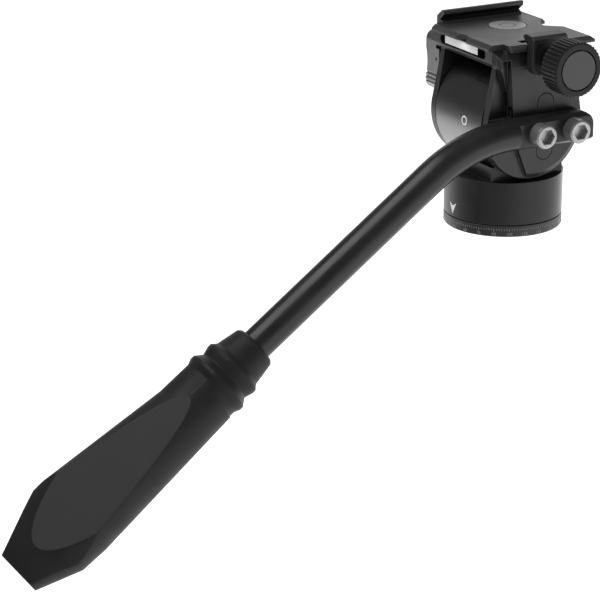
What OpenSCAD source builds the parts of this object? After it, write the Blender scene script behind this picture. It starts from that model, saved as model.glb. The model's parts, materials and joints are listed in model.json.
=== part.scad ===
// Fluid video head with a bent pan bar and a dovetail plate clamp. Millimetres, +Z up.
// The origin is the mouth of the tripod thread, +Y is the lens side, +X the pan bar side.

/* [Base] */
// Diameter of the base plate and of the pan housing
base_d = 50.6; // [46:0.2:60]
// Height of the base plate that carries the pan scale
base_plate_h = 4.8; // [4:0.1:7]
// Bevel round the foot of the base plate
base_bevel = 0.4; // [0.3:0.1:1.5]
// Open seam between the base plate and the pan housing
seam_h = 0.5; // [0.3:0.1:1]
// Height of the pan housing's rim above the tripod face
housing_top = 23.7; // [22:0.1:24]
// Wall radius of the 3/8 inch tripod thread, cut to its tapping size
thread_r = 3.97; // [3.9:0.01:4.8]
// Depth of the tripod thread
thread_depth = 12; // [9:0.5:14]
// Outer radius of the thread bush
bush_r = 7; // [6:0.1:8]

/* [Pan bearing] */
// Wall of the pan housing round the brake drum
housing_wall = 5.6; // [5:0.1:7]
// Height of the top of the brake drum
spindle_top = 16.8; // [16:0.1:17]
// Gap between the brake drum and the pan housing
spindle_gap = 0.4; // [0.3:0.05:0.8]
// Radius of the spindle's bearing stub
stub_r = 6; // [5:0.1:6.5]
// Height of the top of the stub
stub_top = 21.6; // [21.3:0.1:22]
// Wall of the pan bush
pan_bush_t = 2; // [1.5:0.1:2.5]
// Thickness of the thrust washer
thrust_t = 0.8; // [0.5:0.1:1]
// Radius of the retaining washer over the stub
retainer_r = 9.5; // [9:0.1:9.6]
// Thickness of the retaining washer
retainer_t = 1.8; // [1.5:0.1:2.5]
// Shank radius of the retaining screw
retainer_screw_r = 2.5; // [2:0.1:2.6]
// Circle of the screws that hold the spindle to the base plate
base_screw_circle_r = 13; // [12:0.1:14]
// Shank radius of those screws
base_screw_r = 2; // [1.5:0.1:2]
// Number of those screws
base_screw_count = 3; // [3:1:4]

/* [Trunk and drum] */
// Height of the tilt axis
tilt_z = 47.6; // [47.6:0.1:49]
// Radius of the tilt drum
drum_r = 23.6; // [22:0.1:23.6]
// Half length of the tilt drum
drum_half = 17.7; // [17:0.1:18.1]
// Radius of the bore along the drum
drum_bore_r = 17; // [16:0.1:18]
// Half width of the trunk below the drum, side to side
trunk_half_x = 17.6; // [16:0.1:17.6]
// Half depth of the trunk, front to back
trunk_half_y = 17.7; // [16:0.1:17.7]
// Height of the trunk's ledge beside the drum
trunk_top = 30; // [28:0.1:31]
// Depth of the shallow stop track on the drum
track_depth = 0.3; // [0.2:0.1:1]
// Where the stop track starts across the drum
track_x = 2; // [0:0.1:6]
// Height above the tilt axis where the stop track starts
track_rise = 16.8; // [15:0.1:18]
// Inner face of the drum's bearing flanges
flange_x = 7.5; // [6:0.1:8]
// Thickness of the bearing flanges
flange_t = 4.5; // [4:0.1:4.8]

/* [Pan lock] */
// Direction of the pan lock knob round the housing
lock_angle = 151; // [120:1:200]
// Height of the pan lock knob's axis
lock_z = 13; // [12.9:0.1:13.2]
// Radius of the pan lock screw
lock_screw_r = 2.5; // [2:0.1:2.5]
// Length of the brass shoe on the screw's tip
shoe_l = 2.4; // [2:0.1:3]
// Gap between the pan housing and the knob's collar
lock_gap = 1; // [0.5:0.1:2]
// Length of the knob's collar
lock_collar_l = 3; // [2:0.1:5]
// Radius of the knob's collar
lock_collar_r = 4.5; // [4:0.1:6]
// Radius of the pan lock knob
lock_knob_r = 8; // [7:0.1:8]
// Length of the pan lock knob
lock_knob_l = 10; // [8:0.1:14]
// Number of grip grooves on the pan lock knob
lock_groove_count = 12; // [8:1:16]

/* [Cradle] */
// Inner face of the legs
leg_in = 18.4; // [18.4:0.1:20]
// Face of the legs outside the round pads
leg_mid = 22; // [21.5:0.1:22.5]
// Outer face of the legs' pads
leg_out = 24; // [23.5:0.1:24.4]
// Radius of the legs' round feet
leg_r = 23.4; // [22:0.1:23.4]
// Radius of the pads' round feet
pad_r = 22.2; // [21:0.1:22.4]
// Bevel of the pads' rim, along the radius
pad_bevel_r = 1.8; // [1:0.1:2.5]
// Bevel of the pads' rim, along the axis
pad_bevel_x = 0.9; // [0.5:0.1:1.2]
// Half depth of the legs where they join the bridge
neck_half = 19.3; // [18:0.1:20]
// Underside of the bridge
bridge_low = 73.6; // [73:0.1:75]
// Height where the bridge's lower bevel ends
bridge_mid = 76.2; // [75.5:0.1:76.4]
// Half depth of the bridge
bridge_half_y = 22.2; // [21:0.1:23]
// Half width of the bridge
bridge_half_x = 24.5; // [24.2:0.1:25]
// Rear edge of the pads at the top
pad_rear_top = 14.1; // [13:0.1:15]
// Rear edge of the pads at the waist
pad_rear_mid = 12.2; // [11:0.1:13]
// Height of the waist
pad_mid_z = 56; // [54:0.5:58]
// Rear edge of the pads below the pan bar
pad_rear_low = 8.6; // [8:0.1:9]
// Height of that lower point
pad_low_z = 37.6; // [36:0.1:39]
// Rear edge of the pads at the foot
pad_rear_foot = 3.4; // [2:0.1:5]
// Depth of the hollow between a pad and its leg's rear edge
hollow_depth = 2; // [1.5:0.1:2.4]
// Lower end of that hollow
hollow_low = 52; // [51:0.5:54]
// Outer edge of the corner post behind the right pad
post_x = 26.3; // [26:0.1:26.6]
// Rear edge of the corner post
post_y = 20.7; // [20.3:0.1:21]
// Lower end of the slanted web below the corner post
web_low = 63; // [62:0.5:65]
// Slope of the web's underside, off the upright
web_slope = 23.5; // [22:0.5:24.5]
// Side wall of the notch in the right rear corner
nook_x = 22; // [21.5:0.1:22.4]
// Rear wall of that notch
nook_y = 16.5; // [16.2:0.1:17]
// Slope of the post's top inside that notch
nook_slope = 27; // [25:0.5:29]
// Depth of the fillet behind a pad
pad_fillet = 1; // [0.8:0.1:1.2]
// Step between that fillet and the pad's face
pad_fillet_low = 0.3; // [0.2:0.1:0.5]
// Top of the pocket between the corner post and the pad
nook_top = 77; // [76.5:0.1:77.5]
// Half length of the level's slot
slot_half = 17.6; // [17:0.1:18]
// Half height of the level's slot
slot_r = 2.2; // [2:0.1:2.3]
// Height of the level's slot
slot_z = 78.9; // [78.5:0.1:79]
// Depth of the level's slot
slot_depth = 4; // [3:0.1:5]

/* [Level and cover pieces] */
// Length of the level
level_l = 25.3; // [24:0.1:27]
// Height of the level
level_h = 3.4; // [3:0.1:3.8]
// Sideways place of the level in its slot
level_x = -2; // [-3:0.1:3]
// How far the level sits back in its slot
level_set = 0.6; // [0.2:0.1:1]
// Forward place of the stadium cover in the right pad
cover_y = 4; // [3.8:0.1:4.1]
// Height of the stadium cover
cover_z = 46.8; // [46:0.1:48]
// Radius of the stadium cover's ends
cover_r = 3.8; // [3.6:0.1:3.9]
// Length of the stadium cover
cover_l = 28.2; // [26:0.1:29]
// Thickness of the stadium cover
cover_t = 1.6; // [1:0.1:1.8]
// Open line round flush pieces
flush_gap = 0.3; // [0.2:0.05:0.4]

/* [Tilt axle and damping] */
// Radius of the tilt axle
axle_r = 4; // [3.5:0.1:4.5]
// Depth of the axle's seat in the right leg
axle_seat = 1.6; // [1.2:0.1:2]
// Wall of the tilt bushes
tilt_bush_t = 2.4; // [2:0.1:3]
// Radius of the damping discs
damper_r = 15.5; // [14:0.1:16]
// Thickness of the damping discs
damper_t = 5; // [4:0.1:5]
// Radius of the damping discs' hubs
damper_hub_r = 8; // [7:0.1:9]
// Gap between a damping disc and its flange
damper_gap = 0.5; // [0.4:0.1:1]

/* [Tilt lock lever] */
// Gap between the lever and the left leg
lever_gap = 0.4; // [0.3:0.1:1]
// Radius of the lever's hub
lever_hub_r = 9; // [8:0.1:10]
// Inner face of the lever's paddle, from the tilt plane
lever_in = 24.9; // [24.8:0.1:26]
// Outer face of the lever
lever_out = 33; // [32:0.1:34]
// Rearward reach of the lever's paddle
lever_reach = 19.6; // [18:0.1:20]
// Height of the paddle's top
lever_high = 79; // [77:0.1:79.6]
// Height of the paddle's lower end
lever_low = 53.3; // [52:0.1:54]
// Radius of the paddle's rounded ends
lever_round = 4; // [3:0.1:5]
// Radius of the finger grooves
lever_groove_r = 0.4; // [0.3:0.1:0.6]
// Spacing of the finger grooves
lever_groove_step = 1.9; // [1.6:0.1:2.4]
// Radius of the hollow across the paddle's outer face
lever_waist_r = 18; // [16:0.5:22]
// Depth of that hollow
lever_waist_depth = 1.2; // [0.8:0.1:1.5]
// Height of that hollow
lever_waist_z = 65; // [64:0.1:66]
// Depth of the rib along the paddle's rear edge
lever_rib = 3.6; // [3:0.1:4]
// Top of that rib
lever_rib_high = 72.5; // [70:0.1:73]

/* [Plate clamp] */
// Underside of the clamp plate
plate_low = 81.2; // [81:0.1:81.6]
// Top of the clamp plate
plate_top = 83.7; // [83.4:0.1:84]
// Half width of the clamp plate's top
plate_half = 26.3; // [26:0.1:27]
// Rear edge of the clamp plate's top
plate_rear = 22; // [21.5:0.1:22.5]
// Front edge of the clamp plate's top
plate_front = 23.4; // [23:0.1:24]
// Sideways size of the plate's corner cuts
corner_x = 4; // [3:0.1:5]
// Lengthwise size of the plate's corner cuts
corner_y = 6.2; // [5:0.1:7]
// Overhang of the plate's bevelled edge
lip_out = 1.6; // [1:0.1:2]
// Height of the bevel on that edge
lip_drop = 1.3; // [1:0.1:1.6]
// Sideways place of the front notch
notch_x = -0.9; // [-2:0.1:1]
// Half width of the front notch at the edge
notch_half = 8.2; // [7:0.1:9]
// Half width of the front notch at its root
notch_root_half = 2.8; // [2:0.1:4]
// Depth of the front notch
notch_depth = 6.2; // [5:0.1:7]
// Sideways place of the rear sighting notch
sight_x = 1.1; // [0:0.1:2]
// Radius of the rear sighting notch
sight_r = 4.2; // [3.5:0.1:4.5]
// Depth of the rear sighting notch
sight_depth = 1; // [0.8:0.1:2]
// Rear end of the fixed jaw
jaw_rear = 19; // [18:0.1:20]
// Front end of the fixed jaw
jaw_front = 21; // [20:0.1:22]
// Tip of the fixed jaw, from the pan axis
fixed_tip = 20; // [19:0.1:21]
// Root of the fixed jaw's dovetail groove
fixed_root = 23.2; // [22.8:0.1:23.8]
// Outer top edge of the fixed jaw
fixed_top_x = 21.6; // [21.4:0.1:22]
// Outer face of the fixed jaw
fixed_side = 27.1; // [27:0.1:27.8]
// Inner foot of the fixed jaw
fixed_foot = 21.2; // [21:0.1:22]
// Height of the fixed jaw's inner foot above the plate
foot_rise = 0.7; // [0.4:0.1:1]
// Height of the fixed jaw above the plate
fixed_rise = 5.9; // [5:0.1:6.5]
// Height of the dovetail groove's root above the plate
groove_rise = 1.7; // [1.4:0.1:2]
// Bevel over the fixed jaw's tip
tip_bevel = 0.4; // [0.3:0.1:0.6]
// Height of the upright face of the fixed jaw's tip
tip_h = 1.3; // [1:0.1:1.6]
// Radius of the round cap in the plate
cap_r = 8; // [7.5:0.1:8.5]
// Sideways place of the cap
cap_x = -6.2; // [-8:0.1:0]
// Forward place of the cap
cap_y = 4; // [0:0.1:6]
// Thickness of the cap
cap_t = 1.4; // [1:0.1:1.6]
// Radius of the ring line on the cap
cap_ring_r = 3.4; // [3:0.1:4]
// Width and depth of that ring line
cap_ring_w = 0.3; // [0.2:0.05:0.5]
// Sideways place of the screws that hold the plate
plate_screw_x = 11; // [10:0.1:12]
// Lengthwise place of those screws
plate_screw_y = 14; // [13:0.1:15]
// Shank radius of those screws
plate_screw_r = 1.5; // [1.2:0.1:1.5]

/* [Movable jaw] */
// Half length of the movable jaw
jaw_half = 8.3; // [8:0.1:8.4]
// Tip of the movable jaw, from the pan axis
jaw_tip = 23.9; // [23:0.1:25]
// Inner face of the movable jaw's plate
jaw_in = 27.3; // [27:0.1:28]
// Outer face of the movable jaw's plate
jaw_out = 31.9; // [31:0.1:33]
// Height of the movable jaw above the clamp plate
jaw_rise = 4.3; // [4:0.1:5]
// Lower end of the movable jaw
jaw_low = 71.1; // [70.5:0.1:71.8]
// Corner radius of the movable jaw's lower end
jaw_round = 4; // [3:0.1:4.5]
// Inner end of the tongue's cut-out in the clamp plate
tongue_cut = 20; // [19:0.1:20.2]
// Side clearance of the tongue
tongue_gap = 0.3; // [0.3:0.05:0.5]
// Depth of the pocket in the movable jaw's outer face
pocket_depth = 0.8; // [0.5:0.1:1.2]
// Rim left round that pocket
pocket_rim = 1.2; // [0.8:0.1:2]
// Radius of the guide pins
guide_r = 1.5; // [1.2:0.1:1.5]
// Sideways spacing of the guide pins from the screw
guide_y = 5.8; // [5.5:0.1:6]
// Inner end of the guide pins
guide_start = 15; // [14:0.1:17]
// Inner top edge of the movable jaw's lip
jaw_lip = 26.1; // [25.5:0.1:27]
// Drop from the movable jaw's top to its tip
jaw_tip_drop = 1.2; // [0.8:0.1:1.6]
// Bevel along the movable jaw's outer top edge
jaw_bevel = 1.5; // [1:0.1:2]
// Travel of the movable jaw each way from rest
jaw_travel = 2.5; // [2:0.1:2.5]

/* [Clamp knob] */
// Height of the clamp knob's axis
knob_z = 77.4; // [77.2:0.1:77.6]
// Inner face of the clamp knob
knob_in = 42.2; // [41:0.1:44]
// Outer face of the clamp knob
knob_out = 52.5; // [50:0.1:54]
// Outer radius of the clamp knob
knob_r = 11.4; // [10:0.1:12]
// Number of grooves round the clamp knob
knob_groove_count = 40; // [30:1:48]
// Radius of those grooves
knob_groove_r = 0.6; // [0.4:0.1:0.8]
// Bevel of the clamp knob's outer edge
knob_bevel = 0.7; // [0.4:0.1:1]
// Radius of the disc set in the clamp knob's face
face_r = 8; // [7.5:0.1:8.5]
// Thickness of that disc
face_t = 2; // [1.5:0.1:3]
// Open ring round that disc
face_gap = 0.6; // [0.3:0.05:0.7]
// Radius of the collar between the jaw and the knob
knob_collar_r = 4.4; // [4:0.1:4.8]
// Radius of the clamp screw
clamp_screw_r = 3; // [2.5:0.1:3]
// Inner end of the clamp screw
clamp_screw_start = 8; // [6:0.1:10]

/* [Pan bar] */
// Diameter of the pan bar
bar_d = 13.5; // [12:0.1:16]
// Flat cut on each side of the bar where it is bolted
bar_flat = 1.9; // [1.5:0.1:2.4]
// Height of the bar at the cradle
bar_z = 47; // [46:0.1:48]
// Front end of the bar
bar_front = 21.8; // [21:0.1:22.6]
// Rear end of the flats
flat_rear = 15; // [14.5:0.1:15.4]
// Where the bend starts behind the tilt axis
bend_start = 15.6; // [15.5:0.1:18]
// Radius of the bend
bend_r = 65; // [50:1:80]
// Slope of the bar behind the bend
bar_slope = 35.8; // [20:0.1:45]
// Corner radius of the bar's end at the top
end_round_top = 6; // [4:0.1:6.5]
// Corner radius of the bar's end at the bottom
end_round_low = 2.4; // [1.5:0.1:3]
// Forward place of the rear bolt
bolt_rear_y = -5.2; // [-5.4:0.1:-5]
// Spacing of the two bolts
bolt_spacing = 16.6; // [16.5:0.1:17.2]
// Shank radius of the bolts
bolt_r = 3; // [2.5:0.1:3]
// Head radius of the bolts
bolt_head_r = 5; // [4.5:0.05:5.2]
// Head height of the bolts
bolt_head_h = 6; // [5:0.1:6.5]
// Width across flats of the bolts' hex sockets
bolt_socket = 6; // [4:0.1:6.2]
// Depth of the hex sockets
bolt_socket_depth = 3; // [2:0.1:4]
// Rounding bevel of the bolt heads
bolt_bevel = 0.6; // [0.3:0.1:1]

/* [Grip] */
// Start of the grip along the bar, from the bend's corner
grip_start = 121.7; // [110:0.1:130]
// Length of the grip
grip_l = 129.5; // [110:0.1:140]
// Radius of the grip's front collar
grip_collar_r = 9.6; // [9:0.1:10.5]
// Radius of the first ring
ring_a_r = 12.9; // [12:0.1:13.5]
// Place of the first ring along the grip
ring_a_at = 13.6; // [12:0.1:15]
// Radius of the second ring
ring_b_r = 14.2; // [13.5:0.1:15]
// Place of the second ring along the grip
ring_b_at = 21.8; // [20:0.1:23]
// Radius of the waist behind the rings
waist_r = 13.2; // [12.5:0.1:13.4]
// Place of the waist along the grip
waist_at = 28; // [27:0.1:30]
// Length over which the waist runs into the body
waist_l = 18; // [16:0.5:20]
// Radius of the grip's belly
belly_r = 18.3; // [17:0.1:19]
// Place of the belly along the grip
belly_at = 98; // [95:0.1:102]
// Sideways offset of the body at the waist
waist_offset = 1; // [0.5:0.1:1.4]
// Sideways offset of the belly
belly_offset = 3.2; // [2:0.1:4]
// Rounding of the belly into the end taper
belly_round = 50; // [30:1:60]
// Radius where the end taper starts
taper_r = 21.6; // [20:0.1:23]
// Radius of the grip's end
grip_end_r = 9.6; // [9:0.1:11]
// Turn of the grip about the bar
grip_turn = 39; // [0:1:60]
// Distance of the grip's flats from the bar's axis at their front end
flat_start = 13.6; // [13:0.1:14]
// Slope of the grip's flats
flat_slope = 2.7; // [2:0.1:3.5]
// Slope of the bevels at the end of the flats
flat_end_slope = 15; // [10:1:20]
// Length of those bevels
flat_end_l = 11.7; // [10:0.1:14]
// Crown of those bevels, which rounds off the ends of the flats
flat_end_r = 24; // [20:1:30]
// Depth of the bar inside the grip
bar_in_grip = 104; // [80:1:110]

/* [Fits] */
// Radial clearance of turning and sliding fits
run = 0.05; // [0.02:0.01:0.1]
// End clearance of turning pieces
end_gap = 0.05; // [0.03:0.01:0.1]
// Extra depth of blind holes beyond what moves in them
spare = 1; // [0.5:0.1:2]

/* [Hidden] */
$fn = 96;
over = 1;
far = 60;
hair = 0.02;
head_ratio = 1.7;
base_r = base_d / 2;
cavity_r = base_r - housing_wall;
spindle_r = cavity_r - spindle_gap;
lock_collar_start = base_r + lock_gap;
housing_low = base_plate_h + seam_h;
roof_low = spindle_top + thrust_t + end_gap;
roof_step = stub_top - 2 * end_gap;
pan_bush_r = stub_r + run + pan_bush_t;
well_r = retainer_r + spindle_gap;
retainer_top = stub_top + retainer_t;
retainer_tip = thread_depth + spare;
base_screw_head_h = base_screw_r;
base_screw_l = 2 * base_plate_h;
shoe_start = spindle_r + 2 * end_gap;
lock_screw_start = shoe_start + shoe_l + end_gap;
lock_knob_start = lock_collar_start + lock_collar_l;
lock_knob_end = lock_knob_start + lock_knob_l;
lock_groove_r = lock_knob_r / 5;
tilt_bush_r = axle_r + run + tilt_bush_t;
flange_out = flange_x + flange_t;
damper_in = flange_out + damper_gap;
axle_right = leg_in + axle_seat;
axle_left = lever_out - 2 * spare;
leg_rise = bridge_low - tilt_z;
corner_at = plate_half - corner_x;
post_run = 1.25;
post_end = [leg_mid, -pad_rear_top] + post_run * [post_x - leg_mid, pad_rear_top - post_y];
web_rise = plate_low - web_low;
post_turn = atan2(bridge_half_y - post_y, post_x - corner_at);
pad_tilt = atan2(pad_rear_top - pad_rear_mid, plate_low - pad_mid_z);
bar_r = bar_d / 2;
bar_x = leg_out + bar_r - bar_flat;
flat_out = bar_x + bar_r - bar_flat;
bend_tangent = bend_r * tan(bar_slope / 2);
bend_corner = bend_start + bend_tangent;
bar_straight = grip_start + bar_in_grip - bend_tangent;
bolt_tip = axle_right + 2 * flush_gap;
bolt_socket_r = bolt_socket / sqrt(3);
screw_head_r = plate_screw_r * head_ratio;
screw_head_h = 2 * plate_screw_r;
screw_top = plate_top - spare;
tongue_in = tongue_cut + jaw_travel + tongue_gap;
tongue_low = plate_low + tongue_gap;
tongue_top = plate_top - tongue_gap;
guide_hole = guide_start - jaw_travel - spare;
clamp_screw_hole = clamp_screw_start - jaw_travel - spare;
jaw_top = plate_top + jaw_rise;
jaw_tip_z = jaw_top - jaw_tip_drop;
pocket_floor = jaw_out - pocket_depth;
pocket_top = plate_top + spare;
guide_end = pocket_floor - spare;
fixed_top = plate_top + fixed_rise;
groove_z = plate_top + groove_rise;
lip_z = plate_top - lip_drop;
sight_y = plate_rear - sight_depth + sight_r;
grip_end = grip_start + grip_l;
belly_tilt = atan((belly_offset - waist_offset) / (belly_at - waist_at));
taper_at = grip_start + belly_at;
taper_angle = atan((taper_r - grip_end_r) / (grip_l - belly_at));
belly_arc_at = taper_at - belly_round * tan(taper_angle / 2);
flat_at = grip_start + waist_at + spare;
flat_end_at = grip_end - flat_end_l;
flat_end_y = flat_start - (flat_end_at - flat_at) * tan(flat_slope);

// Round bar along X, from x0 to x1.
module rod_x(x0, x1, r, y, z) {
  translate([x0, y, z])
    rotate([0, 90, 0])
      cylinder(h = x1 - x0, r = r);
}

// Round bar along Y, from y0 to y1.
module rod_y(y0, y1, r, x, z) {
  translate([x, y1, z])
    rotate([90, 0, 0])
      cylinder(h = y1 - y0, r = r);
}

// Round bar along Z, from z0 to z1.
module rod_z(z0, z1, r, x = 0, y = 0) {
  translate([x, y, z0])
    cylinder(h = z1 - z0, r = r);
}

// Box between two corners.
module box(low, high) {
  translate(low)
    cube(high - low);
}

// Outline drawn in Y and Z, given a thickness from x0 to x1.
module slab_x(x0, x1) {
  translate([x0, 0, 0])
    rotate([90, 0, 90])
      linear_extrude(height = x1 - x0)
        children();
}

// Outline drawn in X and Z, given a length from y0 to y1.
module slab_y(y0, y1) {
  translate([0, y1, 0])
    rotate([90, 0, 0])
      linear_extrude(height = y1 - y0)
        children();
}

// Frustum along X that ends a round bar.
module bevel_x(x0, x1, r0, r1, y, z) {
  translate([x0, y, z])
    rotate([0, 90, 0])
      cylinder(h = x1 - x0, r1 = r0, r2 = r1);
}

// Places its children at the base plate's screws.
module at_base_screws() {
  for (i = [0 : base_screw_count - 1])
    rotate([0, 0, i * 360 / base_screw_count])
      translate([base_screw_circle_r, 0, 0])
        children();
}

module base_screw_shape() {
  rod_z(0, base_screw_l, base_screw_r);
  cylinder(h = base_screw_head_h, r1 = 2 * base_screw_r, r2 = base_screw_r);
}

module base_plate() {
  color("#262626")
    difference() {
      union() {
        cylinder(h = base_bevel, r1 = base_r - base_bevel, r2 = base_r);
        rod_z(base_bevel, base_plate_h, base_r);
      }
      rod_z(-over, base_plate_h + over, bush_r);
      at_base_screws()
        base_screw_shape();
    }
}

module thread_bush() {
  color("#b9bcc0")
    difference() {
      rod_z(0, thread_depth, bush_r);
      rod_z(-over, thread_depth + over, thread_r);
    }
}

module pan_spindle() {
  color("#8d9196")
    difference() {
      union() {
        rod_z(base_plate_h, spindle_top, spindle_r);
        rod_z(spindle_top, stub_top, stub_r);
      }
      rod_z(base_plate_h - over, thread_depth, bush_r);
      rod_z(retainer_tip, stub_top + over, retainer_screw_r);
      at_base_screws()
        base_screw_shape();
    }
}

module base_screws() {
  color("#9a9da1")
    at_base_screws()
      base_screw_shape();
}

module pan_retainer() {
  color("#b9bcc0")
    difference() {
      rod_z(stub_top, retainer_top, retainer_r);
      rod_z(stub_top - over, retainer_top + over, retainer_screw_r);
    }
}

module retainer_screw() {
  color("#9a9da1")
    union() {
      rod_z(retainer_tip, retainer_top, retainer_screw_r);
      rod_z(retainer_top, retainer_top + 2 * retainer_screw_r, head_ratio * retainer_screw_r);
    }
}

// Shallow track across the top of the drum, in which the tilt stop runs.
module stop_track() {
  intersection() {
    difference() {
      rod_x(track_x, drum_half + over, drum_r + over, 0, tilt_z);
      rod_x(track_x - over, drum_half + 2 * over, drum_r - track_depth, 0, tilt_z);
    }
    box([track_x - over, -far, tilt_z + track_rise], [drum_half + 2 * over, far, tilt_z + far]);
  }
}

module pan_housing() {
  color("#2b2b2b")
    difference() {
      union() {
        rod_z(housing_low, housing_top, base_r);
        box([-trunk_half_x, -trunk_half_y, roof_low], [trunk_half_x, trunk_half_y, trunk_top]);
        rod_x(-drum_half, drum_half, drum_r, 0, tilt_z);
      }
      rod_z(housing_low - over, roof_low, cavity_r);
      rod_z(roof_low - over, roof_step, pan_bush_r);
      rod_z(roof_step, tilt_z, well_r);
      rod_x(-drum_half - over, drum_half + over, drum_bore_r, 0, tilt_z);
      rotate([0, 0, lock_angle])
        rod_x(spindle_r, base_r + over, lock_screw_r, 0, lock_z);
      stop_track();
    }
}

module pan_bush() {
  color("#c9b071")
    difference() {
      rod_z(roof_low, roof_step, pan_bush_r);
      rod_z(roof_low - over, roof_step + over, stub_r + run);
    }
}

module thrust_washer() {
  color("#d9d4c4")
    difference() {
      rod_z(spindle_top + end_gap, roof_low, spindle_r - spare);
      rod_z(spindle_top, roof_low + over, pan_bush_r + spare);
    }
}

module lock_shoe() {
  color("#b88f45")
    rotate([0, 0, lock_angle])
      rod_x(shoe_start, shoe_start + shoe_l, lock_screw_r - run, 0, lock_z);
}

module drum_flanges() {
  color("#8d9196")
    for (side = [0, 1])
      mirror([side, 0, 0])
        difference() {
          rod_x(flange_x, flange_out, drum_bore_r, 0, tilt_z);
          rod_x(flange_x - over, flange_out + over, tilt_bush_r, 0, tilt_z);
        }
}

module tilt_bushes() {
  color("#c9b071")
    for (side = [0, 1])
      mirror([side, 0, 0])
        difference() {
          rod_x(flange_x, flange_out, tilt_bush_r, 0, tilt_z);
          rod_x(flange_x - over, flange_out + over, axle_r + run, 0, tilt_z);
        }
}

module pan_lock_knob() {
  color("#1f1f1f")
    rotate([0, 0, lock_angle])
      difference() {
        union() {
          rod_x(lock_collar_start, lock_knob_start, lock_collar_r, 0, lock_z);
          rod_x(lock_knob_start, lock_knob_end - spare, lock_knob_r, 0, lock_z);
          bevel_x(lock_knob_end - spare, lock_knob_end, lock_knob_r, lock_knob_r - spare, 0, lock_z);
        }
        translate([0, 0, lock_z])
          for (i = [0 : lock_groove_count - 1])
            rotate([i * 360 / lock_groove_count, 0, 0])
              rod_x(lock_knob_start - over, lock_knob_end + over, lock_groove_r, 0,
                lock_knob_r + lock_groove_r / 2);
        rod_x(lock_collar_start - over, lock_knob_start + lock_knob_l / 2, lock_screw_r - run, 0, lock_z);
      }
}

module pan_lock_screw() {
  color("#9a9da1")
    rotate([0, 0, lock_angle])
      rod_x(lock_screw_start, lock_knob_start + lock_knob_l / 2, lock_screw_r - run, 0, lock_z);
}

// Side view of a leg: a round foot with straight sides that close in towards the bridge.
module leg_outline(r, neck) {
  reach = norm([neck, leg_rise]);
  touch = atan2(leg_rise, neck) - acos(r / reach);
  touch_y = r * cos(touch);
  touch_z = tilt_z + r * sin(touch);
  translate([0, tilt_z])
    circle(r = r);
  polygon([[-touch_y, touch_z], [touch_y, touch_z], [neck, bridge_low],
    [neck, bridge_mid], [-neck, bridge_mid], [-neck, bridge_low]]);
}

// Side view of the raised pad, which stops short of the leg's rear edge.
module pad_outline() {
  intersection() {
    leg_outline(pad_r, neck_half - leg_r + pad_r);
    polygon([[-pad_rear_top, plate_low], [-pad_rear_mid, pad_mid_z], [-pad_rear_low, pad_low_z],
      [-pad_rear_foot, tilt_z - pad_r - over], [far, tilt_z - pad_r - over], [far, plate_low]]);
  }
}

module raised_pad() {
  slab_x(leg_mid, leg_out - pad_bevel_x)
    pad_outline();
  intersection() {
    slab_x(leg_out - pad_bevel_x, leg_out)
      pad_outline();
    union() {
      bevel_x(leg_out - pad_bevel_x, leg_out, pad_r, pad_r - pad_bevel_r, 0, tilt_z);
      box([leg_mid, -far, tilt_z], [leg_out + over, far, plate_low]);
    }
  }
}

// Hollow in a leg's side, deepest along the pad's rear edge.
module leg_hollow() {
  intersection() {
    translate([0, 0, hollow_low])
      linear_extrude(height = bridge_low - hollow_low)
        polygon([[leg_mid, -leg_r], [leg_mid + over, -leg_r], [leg_mid + over, 0],
          [leg_mid - hollow_depth, 0], [leg_mid - hollow_depth, -pad_rear_top]]);
    slab_x(leg_in, leg_mid + 2 * over)
      polygon([[-far, hollow_low], [-pad_rear_mid, hollow_low], [-pad_rear_mid, pad_mid_z],
        [-pad_rear_top, plate_low], [-far, plate_low]]);
  }
}

// Fillet between a pad's rear edge and its leg, ending inside the bridge.
module edge_fillet() {
  translate([0, -pad_rear_mid, pad_mid_z])
    rotate([pad_tilt, 0, 0])
      translate([0, 0, pad_fillet])
        linear_extrude(height = (bridge_mid - pad_mid_z) / cos(pad_tilt))
          polygon([[leg_mid - over, -pad_fillet], [leg_mid, -pad_fillet],
            [leg_out - pad_fillet_low, hair], [leg_mid - over, hair]]);
}

module leg() {
  difference() {
    slab_x(leg_in, leg_mid)
      leg_outline(leg_r, neck_half);
    leg_hollow();
  }
  raised_pad();
  edge_fillet();
}

// Post under the plate's right rear corner, with a web that narrows down to the pad.
// It is drawn past the corner cut, which trims it.
module corner_post() {
  intersection() {
    translate([0, 0, web_low])
      linear_extrude(height = web_rise)
        polygon([[leg_in, -pad_rear_top], [leg_mid, -pad_rear_top], post_end,
          [leg_in, -bridge_half_y]]);
    slab_x(leg_in, post_x + 2 * over)
      polygon([[-pad_rear_top - web_rise * tan(web_slope), plate_low], [-pad_rear_top, web_low],
        [-pad_rear_top, plate_low]]);
  }
}

// Pocket in the bridge between the post and the pad. The post covers its slanting wall.
module corner_pocket() {
  translate([-over, 0, bridge_low - over])
    linear_extrude(height = nook_top - bridge_low + over)
      polygon([[leg_mid, -pad_rear_top], post_end, [far, post_end.y], [far, -pad_rear_top]]);
}

// Takes off the bridge's right rear corner as far as the post.
module corner_cut() {
  translate([corner_at, -bridge_half_y, bridge_low - over])
    rotate([0, 0, post_turn])
      translate([-far, -far, 0])
        cube([2 * far, far, far]);
}

// Notch in the right rear corner of the plate, with the post's sloping top as its floor.
module corner_notch() {
  slab_y(-far, -nook_y)
    polygon([[nook_x, plate_low], [nook_x + far, plate_low - far * tan(nook_slope)],
      [nook_x + far, 2 * far], [nook_x, 2 * far]]);
}

module bridge() {
  slab_x(-bridge_half_x, bridge_half_x)
    polygon([[-bridge_half_y, plate_low], [-bridge_half_y, bridge_mid], [-neck_half, bridge_low],
      [neck_half, bridge_low], [bridge_half_y, bridge_mid], [bridge_half_y, plate_low]]);
}

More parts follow.
